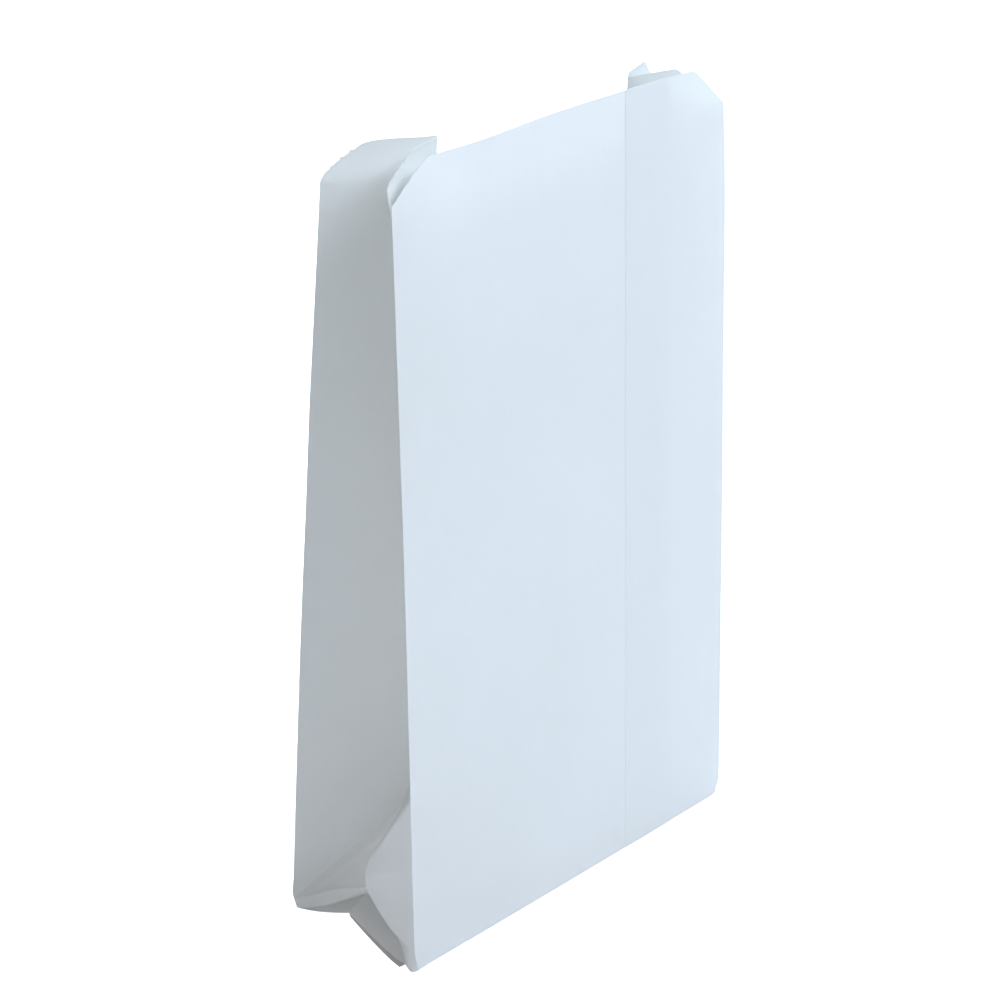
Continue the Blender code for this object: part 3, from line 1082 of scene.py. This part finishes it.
    def cut_teeth(self, bm: bmesh.types.BMesh, flat: dict) -> None:
        """Divide the top edge, pull out its teeth and tear its left corners.

        Args:
            bm: The folded sheet, whose top edge is still smooth.
            flat: Place of each vertex on the flat sheet.
        """
        rng = random.Random(self.seed)
        lowest = self.rim_share * self.sizes.height
        torn = (Zone.LEFT_BACK_HALF, Zone.LEFT_FRONT_HALF)
        rim = []
        for edge in bm.edges:
            start, end = (vert.co.copy() for vert in edge.verts)
            level = abs(start.z - end.z) < self.rim_step
            if edge.is_boundary and level and min(start.z, end.z) > lowest:
                columns = [flat[vert][0] for vert in edge.verts]
                rim.append((edge, columns, start, end, edge.link_faces[0].normal.copy()))
        for vert, (column, _) in flat.items():
            high = vert.is_boundary and vert.co.z > lowest
            if high and column.zone in torn and column.local > self.fold_width:
                vert.co.z += self.cut.ragged(column.local, column.zone)
        for edge, (first, last), start, end, outward in rim:
            up = outward.cross(end - start).normalized()
            if up.z < 0.0:
                up = -up
            steep = abs(end.z - start.z) / (end - start).length
            height = self.tooth_height(steep) * rng.uniform(*self.tooth_range)
            anchor = edge.verts[0].co.copy()
            made = bmesh.ops.subdivide_edges(bm, edges=[edge], cuts=self.tooth_cuts)
            fresh = [item for item in made["geom_inner"] if isinstance(item, bmesh.types.BMVert)]
            fresh.sort(key=lambda vert: (vert.co - anchor).length)
            zone = max(first, last, key=lambda column: column.across).zone
            for step, vert in enumerate(fresh, 1):
                share = step / (self.tooth_cuts + 1)
                vert.co = mix(start, end, share)
                if zone in torn:
                    vert.co.z += self.cut.ragged(mix(first.local, last.local, share), zone)
                elif share == 0.5:
                    vert.co += up * height + outward * self.tooth_lean

    def tooth_height(self, steep: float) -> float:
        """How far a tooth stands out of the cut: a little less where it is slanted."""
        return self.tooth if steep < self.slanted_from else self.slanted_tooth

    def mark_folds(self, bm: bmesh.types.BMesh) -> None:
        """Keep real folds crisp and everything else smooth."""
        for face in bm.faces:
            face.smooth = True
        for edge in bm.edges:
            edge.smooth = not edge.is_boundary and edge.calc_face_angle(0.0) < self.crisp_angle

    def build(self, corner: Vector) -> bpy.types.Object:
        """Build the bag.

        Args:
            corner: Place of the bag's front left bottom corner, in metres.

        Returns:
            The finished bag.
        """
        bm = self.fold_sheet()
        bmesh.ops.triangulate(bm, faces=bm.faces[:], quad_method="LONG_EDGE", ngon_method="BEAUTY")
        bm.normal_update()
        self.mark_folds(bm)
        place = Matrix.Translation(corner) @ Matrix.Scale(MM, 4)
        bmesh.ops.transform(bm, matrix=place, verts=bm.verts)
        mesh = bpy.data.meshes.new("bag")
        bm.to_mesh(mesh)
        bm.free()
        mesh.materials.append(self.finish.material())
        bag = bpy.data.objects.new("bag", mesh)
        bpy.context.scene.collection.objects.link(bag)
        wall = bag.modifiers.new("paper thickness", "SOLIDIFY")
        wall.thickness = self.sizes.paper * MM
        wall.offset = 0.0
        wall.use_even_offset = False
        return bag


@dataclass(frozen=True)
class Lamp:
    """One soft square light: its place and size in metres, its power in watts and its colour."""

    name: str
    place: Triple
    size: float
    power: float
    colour: Triple


@dataclass
class Studio:
    """Pale floor, soft lights and the camera."""

    lamps: tuple[Lamp, ...] = (
        Lamp("key", (1.15, -1.5, 2.05), 1.3, 84.0, (0.76, 0.86, 1.0)),
        Lamp("fill", (-1.3, -0.3, 0.8), 1.2, 8.1, (0.98, 0.97, 1.0)),
        Lamp("back light", (1.4, 0.9, 1.2), 1.3, 34.0, (0.74, 0.9, 1.0)),
    )
    aim_height: float = 0.12
    camera_place: Vector = fixed(-0.6153, -0.5871, 0.5167)
    azimuth: float = -48.2553
    elevation: float = 23.0407
    roll: float = -1.0146
    lens: float = 116.49
    floor_glow: float = 1.0

    def floor(self, level: float) -> None:
        """Build the floor.

        Args:
            level: Height that the bag stands on.
        """
        bm = bmesh.new()
        bmesh.ops.create_grid(bm, x_segments=1, y_segments=1, size=6.0)
        bmesh.ops.translate(bm, verts=bm.verts, vec=Vector((0.0, 0.0, level)))
        mesh = bpy.data.meshes.new("floor")
        bm.to_mesh(mesh)
        bm.free()
        material = bpy.data.materials.new("pale floor")
        material.use_nodes = True
        tree = material.node_tree
        shader = tree.nodes["Principled BSDF"]
        shader.inputs["Base Color"].default_value = (0.92, 0.92, 0.92, 1.0)
        shader.inputs["Roughness"].default_value = 0.9
        shader.inputs["Specular IOR Level"].default_value = 0.0
        shader.inputs["Emission Color"].default_value = (1.0, 1.0, 1.0, 1.0)
        seen = tree.nodes.new("ShaderNodeLightPath")
        glow = tree.nodes.new("ShaderNodeMath")
        glow.operation = "MULTIPLY"
        glow.inputs[1].default_value = self.floor_glow
        tree.links.new(seen.outputs["Is Camera Ray"], glow.inputs[0])
        tree.links.new(glow.outputs[0], shader.inputs["Emission Strength"])
        mesh.materials.append(material)
        floor = bpy.data.objects.new("floor", mesh)
        bpy.context.scene.collection.objects.link(floor)
        floor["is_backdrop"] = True

    def light(self, lamp: Lamp) -> None:
        """Add one soft area light aimed at the bag.

        Args:
            lamp: What the light is like.
        """
        light = bpy.data.lights.new(lamp.name, "AREA")
        light.shape = "SQUARE"
        light.size = lamp.size
        light.energy = lamp.power
        light.color = lamp.colour
        holder = bpy.data.objects.new(lamp.name, light)
        holder.location = lamp.place
        aim = Vector((0.0, 0.0, self.aim_height)) - Vector(lamp.place)
        holder.rotation_euler = aim.to_track_quat("-Z", "Y").to_euler()
        bpy.context.scene.collection.objects.link(holder)

    def surroundings(self) -> None:
        """Give the room an even pale light."""
        world = bpy.data.worlds.new("room")
        bpy.context.scene.world = world
        world.use_nodes = True
        background = world.node_tree.nodes["Background"]
        background.inputs["Color"].default_value = (0.96, 0.98, 1.0, 1.0)
        background.inputs["Strength"].default_value = 0.02

    def camera(self, corner: Vector) -> None:
        """Add the camera, which looks at the bag from the left of its front and above.

        Args:
            corner: Place of the bag's front left bottom corner, in metres.
        """
        around, above, roll = map(math.radians, (self.azimuth, self.elevation, self.roll))
        level_share = math.cos(above)
        back = Vector((math.sin(around) * level_share, -math.cos(around) * level_share, math.sin(above)))
        level = (-back).cross(Vector((0.0, 0.0, 1.0))).normalized()
        upright = level.cross(-back)
        right = level * math.cos(roll) + upright * math.sin(roll)
        up = upright * math.cos(roll) - level * math.sin(roll)
        lens = bpy.data.cameras.new("camera")
        lens.lens = self.lens
        lens.sensor_width = 36.0
        lens.clip_start = 0.05
        camera = bpy.data.objects.new("camera", lens)
        turn = Matrix((right, up, back)).transposed()
        camera.matrix_world = Matrix.Translation(corner + self.camera_place) @ turn.to_4x4()
        bpy.context.scene.collection.objects.link(camera)
        bpy.context.scene.camera = camera

    def build(self, corner: Vector, level: float) -> None:
        """Set up everything round the bag.

        Args:
            corner: Place of the bag's front left bottom corner, in metres.
            level: Height that the bag stands on.
        """
        self.floor(level)
        for lamp in self.lamps:
            self.light(lamp)
        self.surroundings()
        self.camera(corner)
        view = bpy.context.scene.view_settings
        view.view_transform = "Standard"
        view.look = "None"


def corner_of(low: Vector, high: Vector, sizes: BagSizes) -> Vector:
    """Find the bag's front left bottom corner in the frame's box.

    Args:
        low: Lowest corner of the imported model's box.
        high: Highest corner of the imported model's box.
        sizes: The bag's sizes.

    Returns:
        The corner's place in metres.
    """
    middle = (low.x + high.x) / 2.0
    seam_raise = 0.2 * MM
    return Vector((middle - sizes.width / 2.0 * MM, low.y + seam_raise, low.z + sizes.strip_drop * MM))


def main() -> None:
    """Build the bag and its studio, and log the bag's vertex count."""
    logging.basicConfig(level=logging.INFO, format="%(name)s: %(message)s")
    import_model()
    cad_low, cad_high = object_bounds()
    bag = PaperBag()
    corner = corner_of(cad_low, cad_high, bag.sizes)
    piece = bag.build(corner)
    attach(piece, "root")
    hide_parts("paper_bag")
    log.info("bag: %d vertices", len(piece.data.vertices))
    Studio().build(corner, cad_low.z)
    log.info("studio ready")


if __name__ == "__main__":
    main()
